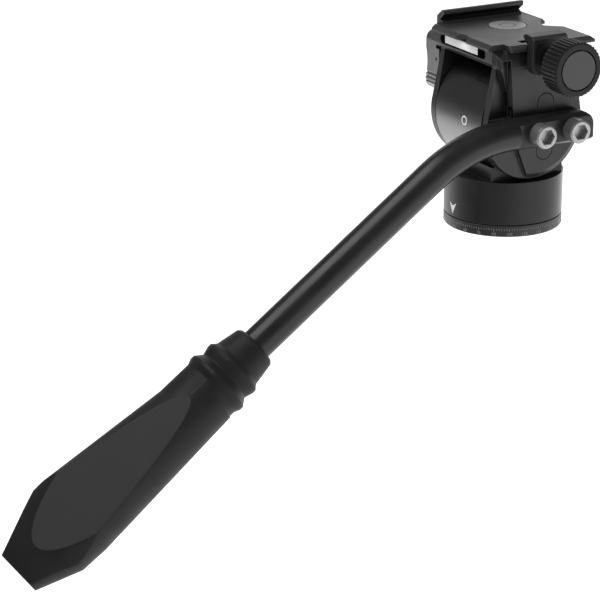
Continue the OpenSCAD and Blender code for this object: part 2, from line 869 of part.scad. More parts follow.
module level_slot() {
  slab_y(-bridge_half_y - over, slot_depth - bridge_half_y)
    translate([0, slot_z]) {
      square([2 * (slot_half - slot_r), 2 * slot_r], center = true);
      for (side = [-1, 1])
        translate([side * (slot_half - slot_r), 0])
          circle(r = slot_r);
    }
}

// Upright stadium in side view, grown all round by grow.
module cover_outline(grow) {
  translate([cover_y, cover_z]) {
    square([2 * (cover_r + grow), cover_l - 2 * cover_r], center = true);
    for (side = [-1, 1])
      translate([0, side * (cover_l / 2 - cover_r)])
        circle(r = cover_r + grow);
  }
}

// Places its children at the screws that hold the clamp plate.
module at_plate_screws() {
  for (side = [-1, 1])
    for (end = [-1, 1])
      translate([side * plate_screw_x, end * plate_screw_y, 0])
        children();
}

module cradle() {
  color("#2e2e2e")
    difference() {
      union() {
        difference() {
          bridge();
          corner_pocket();
        }
        leg();
        mirror([1, 0, 0])
          leg();
        corner_post();
      }
      corner_cut();
      corner_notch();
      level_slot();
      slab_x(leg_out - cover_t, leg_out + over)
        cover_outline(flush_gap);
      rod_x(-leg_out - over, axle_right, axle_r, 0, tilt_z);
      for (y = [bolt_rear_y, bolt_rear_y + bolt_spacing])
        rod_x(bolt_tip, leg_out + over, bolt_r, y, bar_z);
      rod_x(clamp_screw_hole, bridge_half_x + over, clamp_screw_r + run, 0, knob_z);
      for (side = [-1, 1])
        rod_x(guide_hole, bridge_half_x + over, guide_r + run, side * guide_y, knob_z);
      at_plate_screws() {
        rod_z(bridge_low - over, bridge_low + screw_head_h, screw_head_r + flush_gap);
        rod_z(bridge_low, plate_low + over, plate_screw_r);
      }
    }
}

// Plan of the clamp plate, grown all round by grow.
module plate_outline(grow) {
  side = plate_half + grow;
  rear = plate_rear + grow;
  front = plate_front + grow;
  polygon([[-corner_at, -rear], [corner_at, -rear], [side, corner_y - plate_rear],
    [side, front], [-side, front], [-side, corner_y - plate_rear]]);
}

module bevelled_plate() {
  hull() {
    translate([0, 0, plate_low])
      linear_extrude(height = lip_z - plate_low)
        plate_outline(lip_out);
    translate([0, 0, lip_z])
      linear_extrude(height = lip_drop)
        plate_outline(0);
  }
}

module fixed_jaw() {
  intersection() {
    slab_y(-jaw_rear, jaw_front)
      polygon([[-fixed_side, plate_low], [-fixed_side, groove_z], [-fixed_top_x, fixed_top],
        [-fixed_tip - tip_bevel, fixed_top], [-fixed_tip, fixed_top - tip_bevel],
        [-fixed_tip, fixed_top - tip_bevel - tip_h], [-fixed_root, groove_z],
        [-fixed_foot, plate_top + foot_rise], [-fixed_foot, plate_low]]);
    linear_extrude(height = fixed_top + over)
      plate_outline(lip_out);
  }
}

module front_notch() {
  translate([notch_x, plate_front, plate_low - over])
    linear_extrude(height = plate_top - plate_low + 2 * over)
      polygon([[-notch_half, 0], [-notch_root_half, -notch_depth], [notch_root_half, -notch_depth],
        [notch_half, 0], [notch_half, lip_out + over], [-notch_half, lip_out + over]]);
}

module clamp_plate() {
  color("#3a3a3a")
    difference() {
      union() {
        bevelled_plate();
        fixed_jaw();
      }
      front_notch();
      corner_notch();
      rod_z(plate_low - over, plate_top + over, sight_r, sight_x, -sight_y);
      rod_z(plate_top - cap_t, plate_top + over, cap_r + flush_gap, cap_x, cap_y);
      box([tongue_cut, -jaw_half - tongue_gap, plate_low - over],
        [plate_half + lip_out + over, jaw_half + tongue_gap, plate_top + over]);
      at_plate_screws()
        rod_z(plate_low - over, screw_top, plate_screw_r);
    }
}

module plate_screws() {
  color("#9a9da1")
    at_plate_screws() {
      rod_z(bridge_low, bridge_low + screw_head_h, screw_head_r);
      rod_z(bridge_low + screw_head_h, screw_top, plate_screw_r);
    }
}

module plate_cap() {
  color("#5a5a5a")
    difference() {
      rod_z(plate_top - cap_t, plate_top, cap_r, cap_x, cap_y);
      difference() {
        rod_z(plate_top - cap_ring_w, plate_top + over, cap_ring_r, cap_x, cap_y);
        rod_z(plate_top - cap_t, plate_top + 2 * over, cap_ring_r - cap_ring_w, cap_x, cap_y);
      }
    }
}

module level() {
  color("#e2e4e2")
    box([level_x - level_l / 2, level_set - bridge_half_y, slot_z - level_h / 2],
      [level_x + level_l / 2, slot_depth - bridge_half_y, slot_z + level_h / 2]);
}

module tilt_axle() {
  color("#b9bcc0")
    rod_x(-axle_left, axle_right, axle_r, 0, tilt_z);
}

module damper_discs() {
  color("#c7c2b2")
    for (side = [0, 1])
      mirror([side, 0, 0])
        difference() {
          union() {
            rod_x(damper_in, damper_in + damper_t, damper_r, 0, tilt_z);
            rod_x(damper_in, leg_in, damper_hub_r, 0, tilt_z);
          }
          rod_x(damper_in - over, leg_in + over, axle_r, 0, tilt_z);
        }
}

module stadium_cover() {
  color("#3d3d3d")
    slab_x(leg_out - cover_t, leg_out)
      cover_outline(0);
}

// Rounds one corner of the bar's front end; up is 1 for the top and -1 for the bottom.
module end_corner(r, up) {
  slab_x(bar_x - bar_r - over, bar_x + bar_r + over)
    translate([bar_front - r, bar_z + up * (bar_r - r)])
      difference() {
        translate([0, up > 0 ? 0 : -r - over])
          square(r + over);
        circle(r = r);
      }
}

// The bend is a hair thicker than the straight parts, so that they merge into one solid.
module bar_bend() {
  translate([bar_x, -bend_start, bar_z - bend_r])
    rotate([0, -90, 0])
      rotate([0, 0, -bar_slope])
        rotate_extrude(angle = bar_slope)
          translate([bend_r, 0])
            circle(r = bar_r + hair);
}

// Local frame of the bar's straight part: +Z runs down the bar from the corner of its bend.
module along_bar() {
  translate([bar_x, -bend_corner, bar_z])
    rotate([90 + bar_slope, 0, 0])
      children();
}

// Takes the bolted end of the bar flat between x0 and x1.
module side_flat(x0, x1) {
  box([x0, -flat_rear, bar_z - bar_r - over], [x1, bar_front + over, bar_z + bar_r + over]);
}

module pan_bar() {
  color("#262626")
    difference() {
      union() {
        rod_y(-bend_start - spare, bar_front, bar_r, bar_x, bar_z);
        bar_bend();
        along_bar()
          rod_z(bend_tangent - spare, bend_tangent + bar_straight, bar_r);
      }
      side_flat(flat_out, flat_out + bar_r);
      side_flat(leg_out - bar_r, leg_out);
      end_corner(end_round_top, 1);
      end_corner(end_round_low, -1);
      for (y = [bolt_rear_y, bolt_rear_y + bolt_spacing])
        rod_x(leg_out - over, flat_out + over, bolt_r + run, y, bar_z);
    }
}

module bar_bolts() {
  head_end = flat_out + bolt_head_h;
  color("#c4c6c8")
    for (y = [bolt_rear_y, bolt_rear_y + bolt_spacing])
      difference() {
        union() {
          rod_x(bolt_tip, flat_out, bolt_r, y, bar_z);
          rod_x(flat_out, head_end - bolt_bevel, bolt_head_r, y, bar_z);
          bevel_x(head_end - bolt_bevel, head_end, bolt_head_r, bolt_head_r - bolt_bevel, y, bar_z);
        }
        slab_x(head_end - bolt_socket_depth, head_end + over)
          translate([y, bar_z])
            polygon([for (i = [0 : 5]) bolt_socket_r * [cos(60 * i), sin(60 * i)]]);
      }
}

// Front of the grip: a collar that swells into two rings and a waist.
module grip_front() {
  translate([0, 0, grip_start])
    rotate_extrude()
      polygon([[0, 0], [grip_collar_r - spare, 0], [grip_collar_r, spare],
        [(grip_collar_r + ring_a_r) / 2, ring_a_at - 3 * spare], [ring_a_r, ring_a_at - spare],
        [ring_a_r, ring_a_at + spare / 2], [ring_a_r - spare, (ring_a_at + ring_b_at) / 2],
        [ring_b_r, ring_b_at - spare], [ring_b_r, ring_b_at + spare / 2],
        [waist_r, ring_b_at + 3 * spare], [waist_r, waist_at + waist_l], [0, waist_at + waist_l]]);
}

// Body of the grip, turned about an axis that leans towards its belly.
module grip_body() {
  translate([waist_offset, 0, grip_start + waist_at])
    rotate([0, -belly_tilt, 0])
      rotate_extrude()
        polygon([[0, -spare], [waist_r - spare / 2, -spare], [belly_r, belly_at - waist_at],
          [belly_r, grip_l], [0, grip_l]]);
}

// Outer limit of the grip, which rounds off and tapers to its flat end.
module grip_limit() {
  rotate_extrude()
    difference() {
      polygon([[0, grip_start], [taper_r, grip_start], [taper_r, taper_at],
        [grip_end_r, grip_end], [0, grip_end]]);
      difference() {
        translate([taper_r - over, belly_arc_at])
          square([2 * over, 2 * (taper_at - belly_arc_at)]);
        translate([taper_r - belly_round, belly_arc_at])
          circle(r = belly_round);
      }
    }
}

// Cuts one flat and the crowned bevel at its end.
module grip_flat() {
  translate([-far, flat_start, flat_at])
    rotate([flat_slope, 0, 0])
      cube([2 * far, far, 2 * far]);
  difference() {
    translate([-far, 0, taper_at - far / 2])
      cube([2 * far, far, 2 * far]);
    translate([0, flat_end_y - flat_end_r / cos(flat_end_slope), flat_end_at])
      rotate([flat_end_slope, 0, 0])
        cylinder(h = 4 * far, r = flat_end_r, center = true);
  }
}

module grip() {
  color("#1d1d1d")
    along_bar()
      rotate([0, 0, -grip_turn])
        difference() {
          union() {
            grip_front();
            intersection() {
              grip_body();
              grip_limit();
            }
          }
          grip_flat();
          rotate([0, 0, 180])
            grip_flat();
          rod_z(grip_start - over, grip_start + bar_in_grip, bar_r);
        }
}

// End view of the movable jaw along the plate: lip, tongue side and plate.
module jaw_profile() {
  polygon([[jaw_in, jaw_low], [jaw_out, jaw_low], [jaw_out, jaw_top - jaw_bevel],
    [jaw_out - jaw_bevel, jaw_top - jaw_bevel / 3], [jaw_lip, jaw_top], [jaw_tip, jaw_tip_z],
    [jaw_in, jaw_tip_z - jaw_in + jaw_tip]]);
}

// Face view of the movable jaw, drawn in by inset and ending at the height top.
module jaw_face(inset, top) {
  half = jaw_half - inset;
  r = jaw_round - inset;
  low = jaw_low + inset;
  translate([-half, low + r])
    square([2 * half, top - low - r]);
  translate([r - half, low])
    square([2 * (half - r), r]);
  for (side = [-1, 1])
    translate([side * (half - r), low + r])
      circle(r = r);
}

module movable_jaw() {
  color("#2a2a2a")
    difference() {
      union() {
        intersection() {
          slab_y(-jaw_half, jaw_half)
            jaw_profile();
          slab_x(jaw_tip - over, jaw_out + over)
            jaw_face(0, jaw_top + over);
        }
        box([tongue_in, -jaw_half, tongue_low], [jaw_out - pocket_rim, jaw_half, tongue_top]);
      }
      slab_x(pocket_floor, jaw_out + over)
        jaw_face(pocket_rim, pocket_top);
      rod_x(jaw_in - over, jaw_out + over, clamp_screw_r + run, 0, knob_z);
      for (side = [-1, 1])
        rod_x(jaw_in - over, guide_end, guide_r, side * guide_y, knob_z);
    }
}

module guide_pins() {
  color("#b9bcc0")
    for (side = [-1, 1])
      rod_x(guide_start, guide_end, guide_r, side * guide_y, knob_z);
}

module clamp_knob() {
  color("#2a2a2a")
    difference() {
      union() {
        rod_x(pocket_floor + end_gap, knob_in, knob_collar_r, 0, knob_z);
        rod_x(knob_in, knob_out - knob_bevel, knob_r, 0, knob_z);
        bevel_x(knob_out - knob_bevel, knob_out, knob_r, knob_r - knob_bevel, 0, knob_z);
      }
      translate([0, 0, knob_z])
        for (i = [0 : knob_groove_count - 1])
          rotate([i * 360 / knob_groove_count, 0, 0])
            rod_x(knob_in - over, knob_out + over, knob_groove_r, 0, knob_r);
      rod_x(knob_out - face_t, knob_out + over, face_r + face_gap, 0, knob_z);
      rod_x(pocket_floor - over, knob_out - face_t - spare, clamp_screw_r, 0, knob_z);
    }
}

module knob_face() {
  color("#474747")
    rod_x(knob_out - face_t, knob_out, face_r, 0, knob_z);
}

module clamp_screw() {
  color("#9a9da1")
    rod_x(clamp_screw_start, knob_out - face_t - spare, clamp_screw_r, 0, knob_z);
}

// Side view of the lever: a hub, an arm and an upright paddle behind the leg.
module lever_outline() {
  paddle_y = lever_round - lever_reach;
  translate([0, tilt_z])
    circle(r = lever_hub_r);
  for (z = [lever_low + lever_round, lever_high - lever_round])
    translate([paddle_y, z])
      circle(r = lever_round);
  translate([-lever_reach, lever_low + lever_round])
    square([2 * lever_round, lever_high - lever_low - 2 * lever_round]);
  polygon([[paddle_y + lever_round, lever_high - lever_round], [paddle_y, lever_low + lever_round],
    [-lever_hub_r / 2, tilt_z - lever_hub_r * sqrt(3) / 2],
    [lever_hub_r * sqrt(3) / 2, tilt_z + lever_hub_r / 2]]);
}

module tilt_lever() {
  color("#333333")
    difference() {
      union() {
        rod_x(-lever_out, -leg_out - lever_gap, lever_hub_r, 0, tilt_z);
        slab_x(-lever_out, -lever_in)
          lever_outline();
        box([-lever_in - over, -lever_reach, lever_low + lever_round],
          [-leg_mid - lever_gap, lever_rib - lever_reach, lever_rib_high]);
      }
      rod_y(-far, far, lever_waist_r, lever_waist_depth - lever_out - lever_waist_r, lever_waist_z);
      rod_x(-axle_left - end_gap, -leg_out, axle_r + run, 0, tilt_z);
      for (i = [0 : 2])
        rod_x(-lever_out - over, -leg_mid, lever_groove_r, -lever_reach,
          lever_low + lever_round - lever_groove_r + i * lever_groove_step);
    }
}

base_plate();
thread_bush();
pan_spindle();
base_screws();
pan_retainer();
retainer_screw();
pan_housing();
pan_bush();
thrust_washer();
lock_shoe();
drum_flanges();
tilt_bushes();
pan_lock_knob();
pan_lock_screw();
cradle();
clamp_plate();
plate_screws();
plate_cap();
level();
tilt_axle();
damper_discs();
stadium_cover();
pan_bar();
bar_bolts();
grip();
movable_jaw();
guide_pins();
clamp_knob();
knob_face();
clamp_screw();
tilt_lever();
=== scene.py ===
# %% [markdown]
# # A fluid video head
# The solids of the head come ready made from CAD: a round pan base, a drum with a tilting cradle, a
# plate clamp, and a bent pan bar with a grip. This lesson gives them a camera, studio light and
# finishes, and adds the printed marks and the one small screw that CAD leaves out.

# %% Load the solids
import json
import math

import bmesh
import bpy
from mathutils import Euler, Matrix, Vector


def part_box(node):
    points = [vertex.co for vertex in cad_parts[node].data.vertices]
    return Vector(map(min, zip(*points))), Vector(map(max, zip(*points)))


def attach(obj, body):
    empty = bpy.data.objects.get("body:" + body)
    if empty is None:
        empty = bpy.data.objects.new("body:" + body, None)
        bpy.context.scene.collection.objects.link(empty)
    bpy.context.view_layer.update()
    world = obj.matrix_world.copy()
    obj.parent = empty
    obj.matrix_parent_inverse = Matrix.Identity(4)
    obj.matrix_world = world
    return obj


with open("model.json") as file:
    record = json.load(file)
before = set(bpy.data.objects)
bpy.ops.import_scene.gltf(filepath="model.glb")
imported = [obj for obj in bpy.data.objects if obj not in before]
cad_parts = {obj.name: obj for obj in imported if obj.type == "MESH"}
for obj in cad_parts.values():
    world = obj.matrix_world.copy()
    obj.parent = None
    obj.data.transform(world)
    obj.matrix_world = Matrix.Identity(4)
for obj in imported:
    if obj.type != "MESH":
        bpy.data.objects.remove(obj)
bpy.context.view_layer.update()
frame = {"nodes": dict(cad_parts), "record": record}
nodes = frame["nodes"]
MM = 0.001

# %% [markdown]
# ## The camera
# The picture was taken with a long lens from the operator's right, a little above the head. A camera
# could track an empty, but two angles and a place are enough: how far it is turned round the head, and
# how far it looks down. They were found by lining up round edges of the base and the drum with the
# picture.

# %% Camera
SHOT_TURN = math.radians(61.3113)
SHOT_DOWN = math.radians(19.5774)
SHOT_PLACE = Vector((0.8359, -0.5567, 0.3202))
LENS_MM = 146.2
SENSOR_MM = 36.0

camera_data = bpy.data.cameras.new("shot")
camera_data.sensor_fit = "HORIZONTAL"
camera_data.sensor_width = SENSOR_MM
camera_data.lens = LENS_MM
camera = bpy.data.objects.new("shot", camera_data)
bpy.context.scene.collection.objects.link(camera)
aim = Euler((math.pi / 2 - SHOT_DOWN, 0.0, SHOT_TURN)).to_matrix().to_4x4()
camera.matrix_world = Matrix.Translation(SHOT_PLACE) @ aim
bpy.context.scene.camera = camera
bpy.context.scene.view_settings.view_transform = "Standard"
print("camera", [round(v, 3) for v in camera.location], "lens", LENS_MM)

# %% [markdown]
# ## Light from the room
# Dark metal looks like what it reflects, so the room matters as much as the lamps. The camera sees
# plain white. Reflections see a grey room with two lit sectors, one behind the head and one to its
# right. A picture wrapped round the world could do that too, but a few nodes need no file. The Light
# Path node keeps the kinds of ray apart, so what the reflections see adds no light of its own.

# %% Helpers for node trees
def feed(tree, value, socket):
    if isinstance(value, bpy.types.NodeSocket):
        tree.links.new(value, socket)
    else:
        socket.default_value = value


def add_node(tree, kind, inputs=None, **settings):
    node = tree.nodes.new(kind)
    for name, value in settings.items():
        setattr(node, name, value)
    for socket, value in (inputs or {}).items():
        feed(tree, value, node.inputs[socket])
    return node


def math_node(tree, operation, first, second):
    return add_node(tree, "ShaderNodeMath", {0: first, 1: second}, operation=operation).outputs[0]


def along(tree, vector, way):
    dot = add_node(tree, "ShaderNodeVectorMath", {0: vector, 1: way}, operation="DOT_PRODUCT")
    return dot.outputs["Value"]


def ramp(tree, value, start, end, low=0.0, high=1.0):
    limits = {"From Min": start, "From Max": end, "To Min": low, "To Max": high}
    return add_node(tree, "ShaderNodeMapRange", {"Value": value, **limits}).outputs["Result"]


def by_ray(tree, otherwise, mirrored, seen):
    path = add_node(tree, "ShaderNodeLightPath").outputs
    bounced = math_node(tree, "MAXIMUM", path["Is Glossy Ray"], path["Is Transmission Ray"])
    unseen = add_node(tree, "ShaderNodeMixShader", {0: bounced, 1: otherwise, 2: mirrored})
    mix = add_node(tree, "ShaderNodeMixShader", {0: path["Is Camera Ray"], 1: unseen.outputs[0], 2: seen})
    return mix.outputs[0]


# %% World
ROOM_GREY = 0.13
ROOM_LIGHT = 0.62
WHITE = 1.0
# Each sector has the way to its middle, the cosines at which it begins and is full, and its strength
SECTORS = (
    ((-0.80, 0.50, 0.33), 0.84, 0.95, 1.0),
    ((0.95, 0.30, -0.02), 0.84, 0.96, 0.55),
)

world = bpy.data.worlds.new("studio")
world.use_nodes = True
bpy.context.scene.world = world
tree = world.node_tree
tree.nodes.clear()
ray = add_node(tree, "ShaderNodeTexCoord").outputs["Generated"]
painted = ROOM_GREY
for way, start, full, strength in SECTORS:
    sector = ramp(tree, along(tree, ray, Vector(way).normalized()), start, full, high=strength)
    painted = math_node(tree, "MAXIMUM", painted, sector)
glows = []
for strength in (ROOM_LIGHT, painted, WHITE):
    glow = add_node(tree, "ShaderNodeBackground", {"Color": (1.0, 1.0, 1.0, 1.0), "Strength": strength})
    glows.append(glow.outputs[0])
add_node(tree, "ShaderNodeOutputWorld", {"Surface": by_ray(tree, *glows)})
print("world nodes:", len(tree.nodes))

# %% [markdown]
# ## The floor
# The head hangs on its tripod thread, so the floor lies well below it: a wide disc of white paper. An
# evenly lit sheet would shine alike in every dark curve, so in reflections this one brightens towards
# the front and has one lit patch. To the camera it is paper with a little light of its own, which
# meets the white background without an edge.

# %% Floor
FLOOR_Z = -0.30
FLOOR_R = 9.0
FLOOR_SIDES = 64

mesh = bmesh.new()
bmesh.ops.create_circle(mesh, cap_ends=True, segments=FLOOR_SIDES, radius=FLOOR_R)
bmesh.ops.translate(mesh, vec=(0, 0, FLOOR_Z), verts=mesh.verts)
floor_data = bpy.data.meshes.new("floor")
mesh.to_mesh(floor_data)
mesh.free()
floor = bpy.data.objects.new("floor", floor_data)
bpy.context.scene.collection.objects.link(floor)
print("floor at", FLOOR_Z)

# %% White paper
PAPER = (0.8, 0.8, 0.8, 1.0)
PAPER_LIFT = 0.62
LIT_WAY = (0.2, 0.98, 0.0)
LIT_FROM, LIT_TO = -0.7, 0.5
DIM, LIT = 0.42, 1.65
PATCH_AT = (-0.72, -0.30, FLOOR_Z)
PATCH_FULL_R, PATCH_END_R = 0.15, 0.90
PATCH_LIT = 2.2

paper = bpy.data.materials.new("white_paper")
paper.use_nodes = True
tree = paper.node_tree
tree.nodes.clear()
where = add_node(tree, "ShaderNodeTexCoord").outputs["Object"]
matt = add_node(tree, "ShaderNodeBsdfDiffuse", {"Color": PAPER}).outputs[0]
lift = add_node(tree, "ShaderNodeEmission", {"Strength": PAPER_LIFT}).outputs[0]
bright = add_node(tree, "ShaderNodeAddShader", {0: matt, 1: lift}).outputs[0]
fade = ramp(tree, along(tree, where, LIT_WAY), LIT_FROM, LIT_TO, DIM, LIT)
apart = add_node(tree, "ShaderNodeVectorMath", {0: where, 1: PATCH_AT}, operation="DISTANCE")
patch = ramp(tree, apart.outputs["Value"], PATCH_FULL_R, PATCH_END_R, PATCH_LIT, 0.0)
lit = add_node(tree, "ShaderNodeEmission", {"Strength": math_node(tree, "MAXIMUM", fade, patch)}).outputs[0]
add_node(tree, "ShaderNodeOutputMaterial", {"Surface": by_ray(tree, matt, lit, bright)})
floor_data.materials.append(paper)
print("paper nodes:", len(tree.nodes))

# %% [markdown]
# ## Softboxes
# Two area lamps light the head from above. Small lamps would make hard spots on satin metal, so both
# are wide. The first shows in reflections. The second is hidden from them, so it lifts the faces that
# look up and leaves no image of itself.

# %% Softboxes
SUBJECT = Vector((0.0, -0.05, 0.03))


def softbox(name, way, distance, width, height, power, mirrored=True):
    data = bpy.data.lights.new(name, "AREA")
    data.shape = "RECTANGLE"
    data.size = width
    data.size_y = height
    data.energy = power
    lamp = bpy.data.objects.new(name, data)
    way = Vector(way).normalized()
    lamp.location = SUBJECT + way * distance
    lamp.rotation_euler = way.to_track_quat("Z", "Y").to_euler()
    lamp.visible_glossy = mirrored
    bpy.context.scene.collection.objects.link(lamp)
    print("softbox", name, [round(v, 2) for v in lamp.location], power, "W")


softbox("overhead", way=(-0.05, -0.44, 0.90), distance=1.6, width=1.4, height=0.5, power=9)
softbox("top", way=(0.15, -0.25, 1.0), distance=1.6, width=1.1, height=1.1, power=12, mirrored=False)

# %% [markdown]
# ## Shared effects: grain and drift
# Some effects turn up on almost every finish. They could be copied into each material, but a node
# group is built once and takes new values wherever it is placed. The first two are noise: a fine grain
# for the bump of a blasted or moulded surface, and a slow drift of tone.

# %% Grain and drift
VECTOR_SOCKETS = ("Vector", "Way")
DRIFT_FROM, DRIFT_TO = 0.35, 0.65


def new_group(name, ins, out):
    group = bpy.data.node_groups.new(name, "ShaderNodeTree")
    for socket in ins:
        kind = "NodeSocketVector" if socket in VECTOR_SOCKETS else "NodeSocketFloat"
        group.interface.new_socket(name=socket, in_out="INPUT", socket_type=kind)
    group.interface.new_socket(name=out, in_out="OUTPUT", socket_type="NodeSocketFloat")
    source = add_node(group, "NodeGroupInput").outputs
    return group, source, add_node(group, "NodeGroupOutput").inputs[out]


def noise_in(group, source, detail, rough):
    values = {"Vector": source["Vector"], "Scale": source["Scale"], "Detail": detail, "Roughness": rough}
    return add_node(group, "ShaderNodeTexNoise", values).outputs["Fac"]


grain, source, result = new_group("fine_grain", ("Vector", "Scale"), "Height")
feed(grain, noise_in(grain, source, detail=2.0, rough=0.6), result)

drift, source, result = new_group("tone_drift", ("Vector", "Scale"), "Mask")
cloud = noise_in(drift, source, detail=4.0, rough=0.55)
feed(drift, ramp(drift, cloud, DRIFT_FROM, DRIFT_TO), result)
print("groups:", grain.name, drift.name)

# %% [markdown]
# ## Worn and highlit edges
# Hands and bags rub the dark coat off the edges first, and the lighter edges also stand in for the
# highlights that rounded edges catch, so this is partly wear and partly painted highlight. The mask could
# be painted by hand, but a Bevel node finds the edges: it rounds the normal near them, so the rounded
# normal and the true one differ only there. Noise breaks the line up.

# %% Edge wear and painted edge highlight
BEVEL_SAMPLES = 6
EDGE_NONE, EDGE_FULL = 0.98, 0.86

# The edge mask lightens edges, partly as wear and partly as a painted edge highlight.
wear_and_highlight_group, source, result = new_group("edge_wear_and_highlight", ("Vector", "Scale", "Width"), "Mask")
rounded = add_node(wear_and_highlight_group, "ShaderNodeBevel", {"Radius": source["Width"]}, samples=BEVEL_SAMPLES)
true_normal = add_node(wear_and_highlight_group, "ShaderNodeNewGeometry").outputs["Normal"]
edge = ramp(wear_and_highlight_group, along(wear_and_highlight_group, rounded.outputs["Normal"], true_normal), EDGE_NONE, EDGE_FULL)
feed(wear_and_highlight_group, math_node(wear_and_highlight_group, "MULTIPLY", edge, noise_in(wear_and_highlight_group, source, detail=3.0, rough=0.6)), result)
print("group:", wear_and_highlight_group.name)

# %% [markdown]
# ## Painted shade in hollows
# The hollows of the legs and the slot under the plate are almost black. More shadow would need less
# light on everything else, so shade is painted into the colour there: an Ambient Occlusion node tells
# how much of the sky a point sees.

# %% Hollow shade
HOLLOW_SAMPLES = 8
SKY_OPEN, SKY_SHUT = 0.75, 0.25
SHADE_NOISE_LEAST = 0.8

hollow, source, result = new_group("hollow_shade", ("Vector", "Scale", "Depth"), "Mask")
sky = add_node(hollow, "ShaderNodeAmbientOcclusion", {"Distance": source["Depth"]}, samples=HOLLOW_SAMPLES)
shut = ramp(hollow, sky.outputs["AO"], SKY_OPEN, SKY_SHUT)
# Noise breaks up the painted shade.
shade_noise = ramp(hollow, noise_in(hollow, source, detail=3.0, rough=0.6), 0.0, 1.0, low=SHADE_NOISE_LEAST)
feed(hollow, math_node(hollow, "MULTIPLY", shut, shade_noise), result)
print("group:", hollow.name)

# %% [markdown]
# ## Faces that look one way
# A few flat faces have a tone of their own, such as the smooth flats of the grip, and the slope in the
# cradle's corner notch gets painted shade. A second material slot would do, but the solids' meshes stay
# as they are, so a mask picks the faces by their normal.

# %% Facing mask
FACING_NONE, FACING_FULL = 0.998, 0.9995

facing, source, result = new_group("facing_way", ("Vector", "Way"), "Mask")
feed(facing, ramp(facing, along(facing, source["Vector"], source["Way"]), FACING_NONE, FACING_FULL), result)
print("group:", facing.name)

# %% [markdown]
# ## Building a finish
# Most of the head is black anodised alloy: a dark body under a thin clear oxide, so it is a dielectric
# with a dim reflection and not a bare metal. Each effect on the colour is a short function that takes
# a colour and gives back a new one. One function lays all effects into a Principled shader, so each
# finish needs only its own colour, gloss and grain.

# %% Colour effects
DRIFT_SCALE, WEAR_AND_HIGHLIGHT_SCALE, HOLLOW_SCALE = 90.0, 420.0, 240.0
HOLLOW_MM = 14.0


def tint(colour, factor=1.0):
    return tuple(min(1.0, part * factor) for part in colour) + (1.0,)


def place_group(tree, group, coordinates, **values):
    inputs = {"Vector": coordinates, **values}
    return add_node(tree, "ShaderNodeGroup", inputs, node_tree=group).outputs[0]


def mix_colour(tree, factor, first, second):
    inputs = {"Factor": factor, "A": first, "B": second}
    return add_node(tree, "ShaderNodeMix", inputs, data_type="RGBA").outputs["Result"]


def toned_flats(tree, coloured, normal, flats):
    for way, tone in flats:
        coloured = mix_colour(tree, place_group(tree, facing, normal, Way=way), coloured, tint(tone))
    return coloured


# Darkens the colour where the sky is shut out: painted shade in the hollows.
def dark_hollows(tree, coloured, where, deep):
    mask = place_group(tree, hollow, where, Scale=HOLLOW_SCALE, Depth=HOLLOW_MM * MM)
    return mix_colour(tree, mask, coloured, deep)


# Lightens the edges, partly as rubbed coat and partly as a painted edge highlight.
def worn_edges(tree, coloured, where, edge_mm, wear_and_highlight, wear_and_highlight_colour):
    rubbed_and_highlit = place_group(tree, wear_and_highlight_group, where, Scale=WEAR_AND_HIGHLIGHT_SCALE, Width=edge_mm * MM)
    return mix_colour(tree, math_node(tree, "MULTIPLY", rubbed_and_highlit, wear_and_highlight), coloured, tint(wear_and_highlight_colour))


# %% Relief and polish
GRAIN_MM = 0.05
POLISH_STEP_MM = 1.0


def soft_relief(tree, where, edge_mm, grain_scale, bump):
    soft_edge = add_node(tree, "ShaderNodeBevel", {"Radius": edge_mm * MM}, samples=BEVEL_SAMPLES)
    height = place_group(tree, grain, where, Scale=grain_scale)
    relief = {"Strength": bump, "Distance": GRAIN_MM * MM, "Height": height}
    relief["Normal"] = soft_edge.outputs["Normal"]
    return add_node(tree, "ShaderNodeBump", relief).outputs["Normal"]


def polish_above(tree, where, height_mm):
    height = add_node(tree, "ShaderNodeSeparateXYZ", {0: where}).outputs["Z"]
    return ramp(tree, height, height_mm * MM, (height_mm + POLISH_STEP_MM) * MM)


# %% One function for all finishes
ROUGH_SWING = 0.1


# The edge mix lightens edges with wear and a painted highlight. The hollow tone darkens hollows as painted
# shade.
def finish(name, colour, rough, gloss=0.5, metal=0.0, grain_scale=2600.0, bump=0.15, spread=0.14,
           wear_and_highlight=0.25, wear_and_highlight_colour=(0.20, 0.20, 0.20), edge_mm=0.35, hollow_shade_tone=0.25, flats=(),
           polished_mm=None):
    material = bpy.data.materials.new(name)
    material.use_nodes = True
    tree = material.node_tree
    tree.nodes.clear()
    coordinates = add_node(tree, "ShaderNodeTexCoord").outputs
    where = coordinates["Object"]
    tone = place_group(tree, drift, where, Scale=DRIFT_SCALE)
    coloured = mix_colour(tree, tone, tint(colour, 1.0 - spread), tint(colour, 1.0 + spread))
    coloured = toned_flats(tree, coloured, coordinates["Normal"], flats)
    # Painted shade in the hollows.
    if hollow_shade_tone < 1.0:
        coloured = dark_hollows(tree, coloured, where, tint(colour, hollow_shade_tone))
    shader = add_node(tree, "ShaderNodeBsdfPrincipled", {
        "Base Color": worn_edges(tree, coloured, where, edge_mm, wear_and_highlight, wear_and_highlight_colour),
        "Roughness": ramp(tree, tone, 0.0, 1.0, rough * (1.0 - ROUGH_SWING), rough * (1.0 + ROUGH_SWING)),
        "Normal": soft_relief(tree, where, edge_mm, grain_scale, bump),
        "Specular IOR Level": gloss,
        "Metallic": metal,
    })
    if polished_mm is not None:
        feed(tree, polish_above(tree, where, polished_mm), shader.inputs["Coat Weight"])
        shader.inputs["Coat Roughness"].default_value = rough
    add_node(tree, "ShaderNodeOutputMaterial", {"Surface": shader.outputs[0]})
    return material


